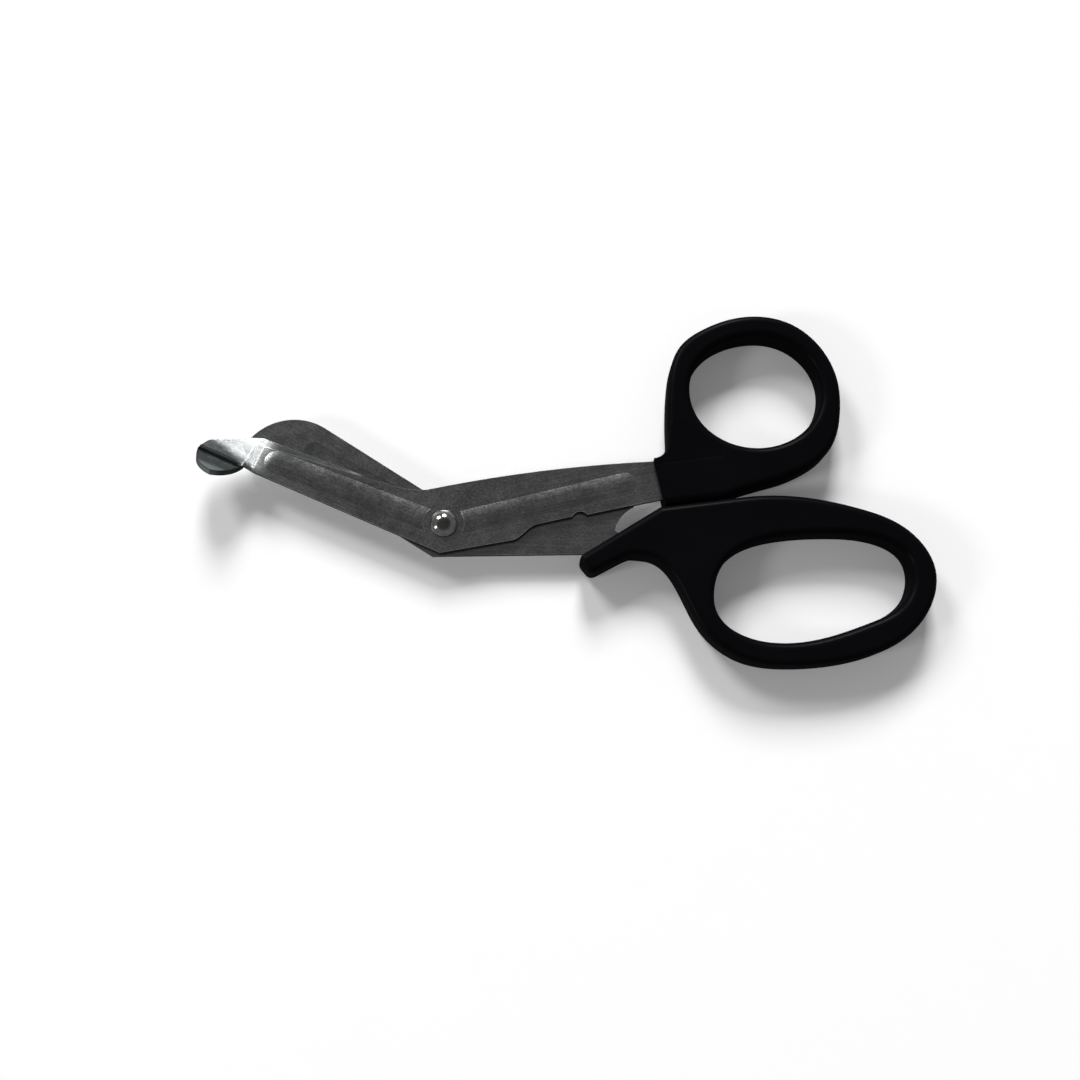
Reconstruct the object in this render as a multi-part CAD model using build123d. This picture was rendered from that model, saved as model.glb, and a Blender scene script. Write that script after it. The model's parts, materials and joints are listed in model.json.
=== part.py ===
"""Bandage scissors: two stamped blades, a rivet and two moulded handles.

Lengths are in millimetres. The sizes are set out from the pivot axis, with the closing line
(the line on which the two handles meet) as the long axis. The finished part is then moved so
that the origin lies under the middle of its box, with +X towards the handles, +Y towards the
thumb ring and +Z up from the table.
"""
import math
import os

from build123d import *

# Stack of the two blades
sheet = 1.6
blade_gap = 0.1
handle_thick = 9.0

# Closing line: its angle to +X, its drop below the pivot and the space left at the stop
close_angle = 7.0
stop_drop = 2.75
stop_gap = 0.3

# Rivet
pin_dia = 4.4
pin_clear = 0.05
head_dia = 6.9
head_rise = 2.2
head_rim = 0.5
tail_dia = 6.0
tail_rise = 1.0
tail_rim = 0.4
seat_clear = 0.02

# Pressed stiffening ribs
rib_rise = 0.3
rib_width = 5.9
rib_seat_dia = 10.4
rib_origin_drop = 0.75

# Front blade, measured along and across its spine from the pivot
front_rake = 23.9
front_reach = 52.2
front_spine_drop = 7.56
front_tip_width = 9.3
front_heel_reach = 19.7
front_heel_width = 11.1
front_rib_reach = 49.4
front_rib_end_drop = 2.8

# Front shank, measured along and across the closing line from the pivot
front_elbow_run = 3.3
front_elbow_rise = 9.4
front_sweep_rise = 1.0
front_spine_rise = 10.75
front_mouth_rise = 9.75
front_root_run = 1.8
front_root_drop = 7.4
front_step_start = 16.7
front_step_end = 23.8
front_step_drop_start = 6.4
front_step_drop_end = 3.0
front_mouth_drop = 0.2
front_notch_reach = 34.7
front_notch_radius = 1.9
front_shank_rib_reach = 50.2
front_shank_rib_rise = 4.7

# Safety foot on the front blade, measured past the end of the cutting edge: the neck twists
# outward about the cutting edge, and a round tab is curled up along the line of the spine
foot_length = 13.2
foot_radius = 6.95
foot_heel_share = 0.55
foot_bend_radius = 3.6
foot_bend = 32.0
foot_cup_radius = 30.0
foot_cup = 46.0
foot_shoulder_run = 9.9
foot_shoulder_rise = 4.54
neck_tilt = 14.0
neck_twist_start = 1.2
neck_twist_end = 0.8
neck_hinge_rise = 0.5

# Rear blade, measured along and across its spine from the pivot
rear_rake = 32.7
rear_reach = 55.4
rear_spine_rise = 4.74
rear_edge_drop = 8.8
rear_nose_radius = 15.0
rear_elbow_reach = 8.2
rear_rib_reach = 42.0
rear_rib_end_drop = 2.3

# Rear shank
rear_root_run = 3.0
rear_root_drop = 8.05
rear_step_start = 18.0
rear_step_end = 25.0
rear_step_rise_start = 7.6
rear_step_rise_end = 5.9
rear_shank_rib_reach = 20.0
rear_shank_rib_rise = 1.3

# Scoop in the end of the rear shank, measured from the upper corner of the finger handle's mouth
scoop_corner_run = 6.3
scoop_corner_rise = 1.75
scoop_middle_run = 10.5
scoop_middle_drop = 1.1
scoop_end_run = 11.9
scoop_end_drop = 4.0
shank_low_run = 20.5
shank_low_drop = 9.1

# Ground cutting bevels, which widen from the heel of the edge to its tip; the front one then
# runs out along the edge of the neck
bevel_heel_width = 0.25
bevel_tip_width = 2.0
bevel_depth = 0.8
bevel_runout = 3.0
bevel_end_width = 0.2
bevel_end_depth = 0.1

# Tangs inside the handles
tang_shoulder = 3.0
tang_neck = 1.0
thumb_tang_length = 23.0
thumb_tang_low = 1.2
thumb_tang_high = 7.6
finger_tang_length = 10.3
finger_tang_top_drop = 4.8
finger_tang_low_drop = 9.2
finger_tang_root_run = 10.4
finger_tang_root_drop = 5.4
finger_tang_low_run = 12.4
finger_tang_heel_drop = 9.3
anchor_dia = 3.6

# Thumb handle, measured from the lower corner of its mouth
thumb_mouth = 55.5
thumb_hole_setback = 11.6
thumb_hole_wall = 11.95
thumb_hole_half_long = 16.9
thumb_hole_half_wide = 15.05
thumb_band = 5.6
thumb_neck_rise = 12.75
thumb_neck_run = 2.1
thumb_neck_climb = 4.0
thumb_heel_run = 13.5
mouth_slant = 5.0

# Relieved web between the thumb ring and its sleeve: it is deepest at a step above the mouth
# and runs out up the ring
web_step_rise = 10.6
web_step_depth = 0.9
web_step_end_depth = 0.25
web_fade = 17.0

# Finger handle, measured from the upper corner of its mouth
finger_mouth = 55.2
finger_hole_setback = 10.05
finger_hole_wall = 11.55
finger_hole_half_long = 25.15
finger_hole_half_wide = 13.4
finger_band = 6.05
finger_stop_length = 21.3
hook_reach = 23.0
hook_mouth_drop = 10.6
hook_end_run = 3.0
hook_end_drop = 4.9
rest_back_run = 33.9
rest_back_drop = 20.1
rest_rise_run = 4.4
rest_rise_drop = 12.9
rest_top_run = 8.0
rest_top_drop = 11.9
rest_front_run = 13.0
rest_front_drop = 12.8

# Moulded edges
edge_round = 1.8
corner_round = 2.0

middle = handle_thick / 2
front_in = middle + blade_gap / 2
front_out = front_in + sheet
rear_in = middle - blade_gap / 2
rear_out = rear_in - sheet
span = 4 * (front_reach + thumb_mouth)


def closing(along, above):
    """Point given along and above the closing direction through the pivot."""
    turn = math.radians(close_angle)
    x = along * math.cos(turn) - above * math.sin(turn)
    y = along * math.sin(turn) + above * math.cos(turn)
    return (x, y)


def blade_point(rake, reach, rise):
    """Point given along a blade towards its tip and above the blade line through the pivot."""
    turn = math.radians(rake)
    x = -reach * math.cos(turn) + rise * math.sin(turn)
    y = reach * math.sin(turn) + rise * math.cos(turn)
    return (x, y)


def plate(edges, low, thick):
    """Flat plate from its outline, standing from the height low."""
    face = Face(Wire(edges))
    return Pos(0, 0, low) * extrude(face, amount=thick, dir=(0, 0, 1))


def loop_points(centre, half_long, half_wide, shape):
    """Points of an oval given as shares of its two half sizes."""
    points = []
    for along, above in shape:
        points.append((centre[0] + half_long * along, centre[1] + half_wide * above))
    return points


def rib(start, end, base, side):
    """Rounded rib with ball ends that stands on the height base, on one side of the sheet."""
    half = rib_width / 2
    radius = (half * half + rib_rise * rib_rise) / (2 * rib_rise)
    depth = base - side * (radius - rib_rise)
    first = Vector(start[0], start[1], depth)
    last = Vector(end[0], end[1], depth)
    run = last - first
    bar = Solid.make_cylinder(radius, run.length, Plane(origin=first, z_dir=run))
    body = bar + Pos(*first) * Sphere(radius) + Pos(*last) * Sphere(radius)
    slab_low = base if side > 0 else base - 2 * rib_rise
    slab = Pos(0, 0, slab_low + rib_rise) * Box(span, span, 2 * rib_rise)
    return body & slab


def emboss(blade, lines, outer, inner, side):
    """Presses ribs into a blade: raised on the outer face and hollow on the inner face."""
    seat = Pos(0, 0, middle) * Cylinder(rib_seat_dia / 2, 4 * handle_thick)
    for start, end in lines:
        blade = blade + (rib(start, end, outer, side) - seat)
    for start, end in lines:
        blade = blade - (rib(start, end, inner, side) - seat)
    return blade


def bevel(stations, outer, side, uphill):
    """Wedge taken off the outer side of a cutting edge, through its stations from the heel on.

    Each station gives a place on the edge, the bevel's width there, the height of the face at
    the bevel's inner line and the height of the edge, both above the outer face.
    """
    first = Vector(*stations[0][0], 0)
    second = Vector(*stations[1][0], 0)
    run = (second - first).normalized()
    away = Vector(-run.Y, run.X, 0) * uphill
    top = 2 * sheet
    rings = []
    for place, width, inner, edge in stations:
        beyond = 2 * edge - inner
        corners = []
        for across, height in ((-width, inner), (width, beyond), (width, top), (-width, top)):
            spot = Vector(*place, 0) + away * across
            corners.append(Vector(spot.X, spot.Y, outer + side * height))
        rings.append(Wire(Polyline(*corners, close=True).edges()))
    return Solid.make_loft(rings, True)


def foot_spot(past, rise):
    """Point past the end of the cutting edge and above the spine."""
    return blade_point(front_rake, front_reach + past, -front_spine_drop + rise)


def foot_stations(bent):
    """Points along the foot's inner face and the slope at each, with the sheet flat or bent."""
    slopes = [math.radians(angle) for angle in (neck_tilt, foot_bend, foot_cup)]
    tilt, bend, cup = slopes
    hinge = front_tip_width + neck_hinge_rise
    start = foot_bend_radius * (math.sin(bend) - math.sin(tilt)) / 2
    neck = (hinge - start) / math.cos(tilt)
    knee = neck + foot_bend_radius * (bend - tilt)
    rim = knee + foot_cup_radius * (cup - bend)
    if not bent:
        return [(Vector(hinge - run, 0), 0.0) for run in (0, neck, knee, rim)]
    first = Vector(start, (hinge - start) * math.tan(tilt))
    bend_centre = first + square(tilt) * foot_bend_radius
    second = bend_centre - square(bend) * foot_bend_radius
    cup_centre = second + square(bend) * foot_cup_radius
    stations = [(Vector(hinge, 0), tilt), (first, tilt)]
    for slope in ((tilt + bend) / 2, bend):
        stations.append((bend_centre - square(slope) * foot_bend_radius, slope))
    for slope in ((bend + cup) / 2, cup):
        stations.append((cup_centre - square(slope) * foot_cup_radius, slope))
    return stations


def square(slope):
    """Unit step square to a sheet that rises by a slope as it runs down from the cutting edge."""
    return Vector(math.sin(slope), math.cos(slope))


def foot_section(past, bent):
    """Outline of the foot's sheet across the blade, with the sheet flat or bent."""
    turn = math.radians(front_rake)
    across = Plane(
        origin=(*foot_spot(past, 0), front_in),
        x_dir=(math.sin(turn), math.cos(turn), 0),
        z_dir=(math.cos(turn), -math.sin(turn), 0),
    )
    stations = foot_stations(bent)
    low = [point for point, slope in stations]
    high = [point + square(slope) * sheet for point, slope in stations]
    high.reverse()
    if bent:
        edges = [
            Line(low[0], low[1]),
            ThreePointArc(low[1], low[2], low[3]),
            ThreePointArc(low[3], low[4], low[5]),
            Line(low[5], high[0]),
            ThreePointArc(high[0], high[1], high[2]),
            ThreePointArc(high[2], high[3], high[4]),
            Line(high[4], high[5]),
            Line(high[5], low[0]),
        ]
    else:
        corners = low + high
        edges = Polyline(*corners, close=True).edges()
    return across * Wire(edges)


def make_foot():
    """Blunt safety foot: the neck twists outward and a round tab curls up along the spine."""
    turn = math.radians(front_rake)
    toward_tip = Vector(*blade_point(front_rake, 1, 0), 0)
    flat = foot_section(-neck_twist_start, False)
    bent = foot_section(neck_twist_end, True)
    twist = Solid.make_loft([flat, bent], True)
    curl = twist + extrude(Face(bent), amount=foot_length, dir=toward_tip)
    back = neck_twist_end
    lap = sheet * 3 / 8
    tab_lap = sheet / 6
    neck_edges = [
        Line(foot_spot(-neck_twist_start, 0), foot_spot(-neck_twist_start, neck_width())),
        Line(foot_spot(-neck_twist_start, neck_width()), foot_spot(0, front_tip_width)),
        Line(foot_spot(0, front_tip_width), foot_spot(foot_shoulder_run, foot_shoulder_rise)),
        ThreePointArc(
            foot_spot(foot_shoulder_run, foot_shoulder_rise),
            foot_spot(0.68 * foot_length + 0.32 * foot_shoulder_run, 0.56 * foot_shoulder_rise),
            foot_spot(foot_length, 0),
        ),
        Line(foot_spot(foot_length, 0), foot_spot(foot_length, -lap)),
        Line(foot_spot(foot_length, -lap), foot_spot(back + 3 * lap, -lap)),
        Line(foot_spot(back + 3 * lap, -lap), foot_spot(back, 0)),
        Line(foot_spot(back, 0), foot_spot(-neck_twist_start, 0)),
    ]
    neck = plate(neck_edges, 0, 4 * handle_thick)
    slope = math.radians((foot_bend + foot_cup) / 2)
    knee_rise = foot_stations(True)[1][0].Y
    flat_run = math.cos(slope)
    down = Vector(-math.sin(turn) * flat_run, -math.cos(turn) * flat_run, math.sin(slope))
    tab_plane = Plane(
        origin=(*foot_spot(0, 0), front_in + knee_rise + sheet / 2),
        x_dir=toward_tip,
        z_dir=toward_tip.cross(down),
    )
    radius = foot_radius
    centre = foot_length - radius
    corner = radius * math.sqrt(0.5)
    heel = radius * foot_heel_share
    tab_edges = [
        Line((foot_length, -tab_lap), (foot_length, 0)),
        ThreePointArc((foot_length, 0), (centre + corner, corner), (centre, radius)),
        ThreePointArc((centre, radius), (centre - heel, heel), (back, 0)),
        Line((back, 0), (back, -tab_lap)),
        Line((back, -tab_lap), (foot_length, -tab_lap)),
    ]
    tab_face = tab_plane.offset(-foot_radius) * Face(Wire(tab_edges))
    tab = extrude(tab_face, amount=2 * foot_radius, dir=tab_plane.z_dir)
    return curl & (neck + tab)


def neck_width():
    """Width of the front blade where the neck starts to twist."""
    share = neck_twist_start / (front_reach - front_heel_reach)
    return front_tip_width + (front_heel_width - front_tip_width) * share


def make_front_blade():
    """Stamped blade of the thumb ring with its foot, ribs, bevel and tang."""
    spine = -front_spine_drop
    tip_low = foot_spot(-neck_twist_start, 0)
    tip_high = foot_spot(-neck_twist_start, neck_width())
    heel = blade_point(front_rake, front_heel_reach, spine + front_heel_width)
    elbow = closing(-front_elbow_run, front_elbow_rise)
    sweep_rise = spine + front_heel_width + front_sweep_rise
    sweep = blade_point(front_rake, front_heel_reach * 0.62, sweep_rise)
    mouth_high = closing(thumb_mouth, front_mouth_rise)
    crown = closing(thumb_mouth * 0.47, front_spine_rise)
    shoulder = thumb_mouth + tang_shoulder
    shoulder_high = closing(shoulder, front_mouth_rise)
    shoulder_low = closing(shoulder, -front_mouth_drop)
    tang_base_high = closing(shoulder + tang_neck, thumb_tang_high)
    tang_base_low = closing(shoulder + tang_neck, thumb_tang_low)
    tang_end = thumb_mouth + thumb_tang_length
    tang_round = (thumb_tang_high - thumb_tang_low) / 2
    tang_middle = (thumb_tang_high + thumb_tang_low) / 2
    tang_top = closing(tang_end - tang_round, thumb_tang_high)
    tang_tip = closing(tang_end, tang_middle)
    tang_bottom = closing(tang_end - tang_round, thumb_tang_low)
    notch_run = front_notch_reach - front_step_end
    rise = front_step_drop_end - front_mouth_drop
    slope = rise / (shoulder - front_step_end)
    notch_drop = front_step_drop_end - slope * notch_run
    notch_right = closing(front_notch_reach + front_notch_radius, -notch_drop)
    notch_top = closing(front_notch_reach, -notch_drop + 0.55 * front_notch_radius)
    notch_left = closing(front_notch_reach - front_notch_radius, -notch_drop)
    step_end = closing(front_step_end, -front_step_drop_end)
    step_start = closing(front_step_start, -front_step_drop_start)
    root = closing(-front_root_run, -front_root_drop)
    step_dir = Vector(*closing(-1, -0.12), 0)
    edges = [
        Line(tip_low, tip_high),
        Line(tip_high, heel),
        ThreePointArc(heel, sweep, elbow),
        ThreePointArc(elbow, crown, mouth_high),
        Line(mouth_high, shoulder_high),
        Line(shoulder_high, tang_base_high),
        Line(tang_base_high, tang_top),
        ThreePointArc(tang_top, tang_tip, tang_bottom),
        Line(tang_bottom, tang_base_low),
        Line(tang_base_low, shoulder_low),
        Line(shoulder_low, notch_right),
        ThreePointArc(notch_right, notch_top, notch_left),
        Line(notch_left, step_end),
        Spline([step_end, step_start], tangents=[step_dir, step_dir]),
        Line(step_start, root),
        Line(root, tip_low),
    ]
    blade = plate(edges, front_in, sheet)
    blade = blade + make_foot()
    rib_end = blade_point(front_rake, front_rib_reach - rib_width / 2, -front_rib_end_drop)
    shank_end = closing(front_shank_rib_reach - rib_width / 2, front_shank_rib_rise)
    origin = (0, -rib_origin_drop)
    blade = emboss(blade, [(rib_end, origin), (origin, shank_end)], front_out, front_in, 1)
    runout_slope = (front_tip_width - foot_shoulder_rise) / foot_shoulder_run
    runout_rise = front_tip_width - runout_slope * bevel_runout
    lift = (front_tip_width + neck_hinge_rise - runout_rise) * math.tan(math.radians(neck_tilt))
    stations = [
        (heel, bevel_heel_width, 0, -bevel_depth),
        (tip_high, bevel_tip_width, 0, -bevel_depth),
        (foot_spot(bevel_runout, runout_rise), bevel_end_width, lift, lift - bevel_end_depth),
    ]
    blade = blade - bevel(stations, front_out, 1, -1)
    bore = Pos(0, 0, middle) * Cylinder(pin_dia / 2 + pin_clear, 4 * handle_thick)
    anchor_x, anchor_y = closing(thumb_mouth + 0.65 * thumb_tang_length, tang_middle)
    anchor = Pos(anchor_x, anchor_y, middle) * Cylinder(anchor_dia / 2, 4 * handle_thick)
    return blade - bore - anchor


def make_rear_blade():
    """Stamped blade of the finger loop with its round nose, ribs, bevel and tang."""
    rise = rear_spine_rise
    radius = rear_nose_radius
    width = rise + rear_edge_drop
    nose_run = math.sqrt(radius**2 - (radius - width) ** 2)
    nose_half = math.acos((radius - width) / radius) / 2
    nose_base = rear_reach - nose_run
    nose_start = blade_point(rear_rake, nose_base, rise)
    nose_belly = blade_point(
        rear_rake,
        nose_base + radius * math.sin(nose_half),
        rise - radius * (1 - math.cos(nose_half)),
    )
    tip = blade_point(rear_rake, rear_reach, -rear_edge_drop)
    root = (-rear_root_run, -rear_root_drop)
    elbow = blade_point(rear_rake, rear_elbow_reach, rise)
    step_start = (rear_step_start, rear_step_rise_start)
    step_end = (rear_step_end, rear_step_rise_end)
    step_dir = Vector(1, -0.05, 0)
    base = -stop_drop

    def mouth(along, above):
        """Point measured from the upper corner of the finger handle's mouth."""
        return closing(finger_mouth + along, base + above)

    tang_round = (finger_tang_low_drop - finger_tang_top_drop) / 2
    tang_middle = (finger_tang_low_drop + finger_tang_top_drop) / 2
    corner = mouth(-scoop_corner_run, scoop_corner_rise)
    scoop_middle = mouth(-scoop_middle_run, -scoop_middle_drop)
    scoop_end = mouth(-scoop_end_run, -scoop_end_drop)
    tang_root = mouth(-finger_tang_root_run, -finger_tang_root_drop)
    tang_top = mouth(finger_tang_length, -finger_tang_top_drop)
    tang_tip = mouth(finger_tang_length + tang_round, -tang_middle)
    tang_bottom = mouth(finger_tang_length, -finger_tang_low_drop)
    tang_low = mouth(-finger_tang_low_run, -finger_tang_heel_drop)
    shank_low = mouth(-shank_low_run, -shank_low_drop)
    edges = [
        Line(elbow, nose_start),
        ThreePointArc(nose_start, nose_belly, tip),
        Line(tip, root),
        Line(root, shank_low),
        Line(shank_low, tang_low),
        Line(tang_low, tang_bottom),
        ThreePointArc(tang_bottom, tang_tip, tang_top),
        Line(tang_top, tang_root),
        Line(tang_root, scoop_end),
        ThreePointArc(scoop_end, scoop_middle, corner),
        Line(corner, step_end),
        Spline([step_end, step_start], tangents=[step_dir * -1, step_dir * -1]),
        Line(step_start, elbow),
    ]
    blade = plate(edges, rear_out, sheet)
    rib_end = blade_point(rear_rake, rear_rib_reach - rib_width / 2, -rear_rib_end_drop)
    shank_end = (rear_shank_rib_reach - rib_width / 2, rear_shank_rib_rise)
    origin = (0, 0)
    blade = emboss(blade, [(rib_end, origin), (origin, shank_end)], rear_out, rear_in, -1)
    edge_heel = blade_point(rear_rake, front_heel_reach, -rear_edge_drop + 0.02)
    stations = [
        (edge_heel, bevel_heel_width, 0, -bevel_depth),
        (tip, bevel_tip_width, 0, -bevel_depth),
    ]
    blade = blade - bevel(stations, rear_out, -1, 1)
    bore = Pos(0, 0, middle) * Cylinder(pin_dia / 2 + pin_clear, 4 * handle_thick)
    anchor_x, anchor_y = mouth(0.45 * finger_tang_length, -tang_middle)
    anchor = Pos(anchor_x, anchor_y, middle) * Cylinder(anchor_dia / 2, 4 * handle_thick)
    return blade - bore - anchor


def cap_middle(half, rise):
    """Radius and height of the middle point on the arc of a round cap."""
    ball = (half * half + rise * rise) / (2 * rise)
    lean = math.asin(half / ball) / 2
    return ball * math.sin(lean), rise - ball * (1 - math.cos(lean))


def make_rivet():
    """Rivet with a domed head on the front blade and a peened tail under the rear blade."""
    pin = pin_dia / 2
    head = head_dia / 2
    tail = tail_dia / 2
    top = front_out + seat_clear
    foot = rear_out - seat_clear
    head_mid = cap_middle(head, head_rise - head_rim)
    tail_mid = cap_middle(tail, tail_rise - tail_rim)
    edges = [
        Line((0, foot - tail_rise), (0, top + head_rise)),
        ThreePointArc(
            (0, top + head_rise),
            (head_mid[0], top + head_rim + head_mid[1]),
            (head, top + head_rim),
        ),
        Line((head, top + head_rim), (head, top)),
        Line((head, top), (pin, top)),
        Line((pin, top), (pin, foot)),
        Line((pin, foot), (tail, foot)),
        Line((tail, foot), (tail, foot - tail_rim)),
        ThreePointArc(
            (tail, foot - tail_rim),
            (tail_mid[0], foot - tail_rim - tail_mid[1]),
            (0, foot - tail_rise),
        ),
    ]
    face = Plane.XZ * Face(Wire(edges))
    return revolve(face, axis=Axis.Z)


def moulded(outline, hole):
    """Handle body from its outline and its finger hole, with rounded edges on both faces."""
    body = extrude(Face(Wire(outline)), amount=handle_thick, dir=(0, 0, 1))
    body = body - extrude(Face(Wire(hole)), amount=handle_thick, dir=(0, 0, 1))
    rims = body.faces().sort_by(Axis.Z)
    edges = rims[0].edges() + rims[-1].edges()
    return fillet(edges, radius=edge_round)


def web_relief(step_left, step_right, inside, far_left):
    """Shallow wedge over the web: deepest along its step, and running out away from it."""
    first = Vector(*step_left, handle_thick - web_step_depth)
    second = Vector(*step_right, handle_thick - web_step_end_depth)
    third = Vector(*far_left, handle_thick)
    run = second - first
    floor = Plane(origin=first, x_dir=run, z_dir=run.cross(third - first))
    above = floor * Pos(0, 0, span / 2) * Box(span, span, span)
    corners = Polyline(step_left, step_right, inside, far_left, close=True)
    return plate(corners.edges(), middle, handle_thick) & above


def make_thumb_handle(blade):
    """Small ring with its sleeve, moulded over the front blade's tang."""
    base = -stop_drop + stop_gap
    centre = (
        thumb_hole_setback + thumb_hole_half_long,
        thumb_hole_wall + thumb_hole_half_wide,
    )
    hole_shape = [
        (-1.0, 0.13),
        (-0.71, 0.75),
        (-0.10, 1.0),
        (0.55, 0.86),
        (0.99, 0.19),
        (0.84, -0.58),
        (0.23, -0.98),
        (-0.57, -0.80),
    ]
    ring_shape = [
        (-1.005, 0.14),
        (-0.765, 0.735),
        (-0.475, 0.915),
        (-0.04, 1.015),
        (0.55, 0.845),
        (0.965, 0.07),
        (0.935, -0.37),
        (0.82, -0.725),
        (0.61, -0.97),
        (0.24, -1.14),
    ]

    def local(point):
        """Point measured from the lower corner of the mouth."""
        return closing(thumb_mouth + point[0], base + point[1])

    hole = loop_points(centre, thumb_hole_half_long, thumb_hole_half_wide, hole_shape)
    ring = loop_points(
        centre,
        thumb_hole_half_long + thumb_band,
        thumb_hole_half_wide + thumb_band,
        ring_shape,
    )
    neck = (thumb_hole_setback - thumb_band - thumb_neck_run, thumb_neck_rise + thumb_neck_climb)
    lip = (0.0, thumb_neck_rise)
    heel = (centre[0] - thumb_heel_run, 0.0)
    along = Vector(*closing(1, 0), 0)
    over = 3 * edge_round
    outline = [
        Line(local((-over, 0)), local((-over, thumb_neck_rise))),
        Line(local((-over, thumb_neck_rise)), local(lip)),
        Spline(
            [local(lip), local(neck)],
            tangents=[along, Vector(*closing(0.10, 1), 0)],
        ),
        Spline(
            [local(neck)] + [local(p) for p in ring] + [local(heel)],
            tangents=[Vector(*closing(0.10, 1), 0), Vector(*closing(-1, -0.2), 0)],
        ),
        Line(local(heel), local((-over, 0))),
    ]
    rim = [Spline([local(p) for p in hole], periodic=True)]
    body = moulded(outline, rim)
    cut = Pos(*local((0, thumb_neck_rise)), middle) * Rot(0, 0, close_angle + mouth_slant)
    body = body - cut * Pos(-over, 0, 0) * Box(2 * over, span, span)
    cut = web_relief(
        local((neck[0] - over, web_step_rise)),
        local((centre[0] - 0.66 * thumb_hole_half_long, web_step_rise)),
        local((centre[0] - 0.3 * thumb_hole_half_long, centre[1])),
        local((neck[0] - over, web_step_rise + web_fade)),
    )
    body = body - cut - mirror(cut, about=Plane.XY.offset(middle))
    return body - blade


def make_finger_handle(blade):
    """Large loop with the finger hook, moulded over the rear blade's tang."""
    base = -stop_drop
    centre = (
        finger_hole_setback + finger_hole_half_long,
        -finger_hole_wall - finger_hole_half_wide,
    )
    hole_shape = [
        (-1.0, 0.03),
        (-0.73, 0.81),
        (-0.20, 1.0),
        (0.27, 0.94),
        (0.655, 0.785),
        (0.98, 0.31),
        (0.91, -0.40),
        (0.46, -0.82),
        (-0.28, -1.0),
        (-0.84, -0.66),
    ]
    loop_shape = [
        (0.01, 1.20),
        (0.485, 0.945),
        (0.82, 0.62),
        (1.0, 0.03),
        (0.77, -0.68),
        (0.25, -1.0),
        (-0.25, -1.0),
        (-0.68, -0.81),
        (-0.94, -0.38),
    ]

    def local(point):
        """Point measured from the upper corner of the mouth."""
        return closing(finger_mouth + point[0], base + point[1])

    hole = loop_points(centre, finger_hole_half_long, finger_hole_half_wide, hole_shape)
    loop = loop_points(
        centre,
        finger_hole_half_long + finger_band,
        finger_hole_half_wide + finger_band,
        loop_shape,
    )
    stop_end = (finger_stop_length, 0.0)
    rest = [
        (centre[0] - rest_back_run, -rest_back_drop),
        (-rest_rise_run, -rest_rise_drop),
        (-rest_top_run, -rest_top_drop),
        (-rest_front_run, -rest_front_drop),
    ]
    hook_top = (-hook_reach, -hook_mouth_drop)
    hook_low = (-hook_reach + hook_end_run, -hook_mouth_drop - hook_end_drop)
    along = Vector(*closing(1, 0), 0)
    under = Vector(*local(hook_low), 0) - Vector(*local(rest[-1]), 0)
    sides = [
        Line(local((0, 0)), local(stop_end)),
        Spline(
            [local(stop_end)] + [local(p) for p in loop] + [local(p) for p in rest],
            tangents=[along, under.normalized()],
        ),
        Line(local(rest[-1]), local(hook_low)),
        Line(local(hook_low), local(hook_top)),
        Line(local(hook_top), local((0, 0))),
    ]
    face = Face(Wire(sides))
    sharp = [v for v in face.vertices() if near(v, local(hook_low)) or near(v, local(hook_top))]
    face = fillet(sharp, radius=corner_round).faces()[0]
    rim = [Spline([local(p) for p in hole], periodic=True)]
    body = moulded(face.outer_wire().edges(), rim)
    return body - blade


def near(vertex, point):
    """Whether a vertex of an outline lies on a point."""
    return math.hypot(vertex.X - point[0], vertex.Y - point[1]) < 0.01


def main():
    """Builds the five pieces, moves them to the shared frame and writes them."""
    front = make_front_blade()
    rear = make_rear_blade()
    pieces = {
        "front_blade": front,
        "rear_blade": rear,
        "pivot_rivet": make_rivet(),
        "thumb_handle": make_thumb_handle(front),
        "finger_handle": make_finger_handle(rear),
    }
    boxes = [piece.bounding_box() for piece in pieces.values()]
    low_x = min(box.min.X for box in boxes)
    high_x = max(box.max.X for box in boxes)
    low_y = min(box.min.Y for box in boxes)
    high_y = max(box.max.Y for box in boxes)
    low_z = min(box.min.Z for box in boxes)
    shift = Pos(-(low_x + high_x) / 2, -(low_y + high_y) / 2, -low_z)
    os.makedirs("parts", exist_ok=True)
    for name, piece in pieces.items():
        export_step(shift * piece, f"parts/{name}.step")
    print("pivot at", -(low_x + high_x) / 2, -(low_y + high_y) / 2)


if __name__ == "__main__":
    main()
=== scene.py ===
"""Dresses a pair of bandage scissors in their finishes and sets them in a plain studio.

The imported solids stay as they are: two pressed blades of satin steel, a polished rivet and
two moulded handles. This script gives each one its surface, and adds the floor, the lamps
and the camera. Lengths are in metres.
"""

import json
import logging
import math
from dataclasses import dataclass, field
from enum import Enum
from typing import Any

import bpy
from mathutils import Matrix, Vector


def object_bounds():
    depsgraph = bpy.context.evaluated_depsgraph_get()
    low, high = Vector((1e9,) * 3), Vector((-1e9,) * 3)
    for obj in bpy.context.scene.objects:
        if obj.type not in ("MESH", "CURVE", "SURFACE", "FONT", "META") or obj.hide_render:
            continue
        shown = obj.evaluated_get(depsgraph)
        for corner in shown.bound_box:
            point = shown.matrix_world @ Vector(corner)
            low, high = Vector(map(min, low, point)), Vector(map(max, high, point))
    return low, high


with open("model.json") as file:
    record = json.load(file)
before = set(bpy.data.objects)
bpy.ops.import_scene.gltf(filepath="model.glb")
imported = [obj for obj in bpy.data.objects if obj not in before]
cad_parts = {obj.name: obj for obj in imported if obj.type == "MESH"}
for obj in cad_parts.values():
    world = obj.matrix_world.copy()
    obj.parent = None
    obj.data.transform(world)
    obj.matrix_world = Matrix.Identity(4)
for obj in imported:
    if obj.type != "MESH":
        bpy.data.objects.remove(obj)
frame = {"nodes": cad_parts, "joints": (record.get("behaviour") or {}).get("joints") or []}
CAD_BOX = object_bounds()

MM = 0.001
NOISE_MIDDLE = 0.5
LOG = logging.getLogger("bandage_scissors")

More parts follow.
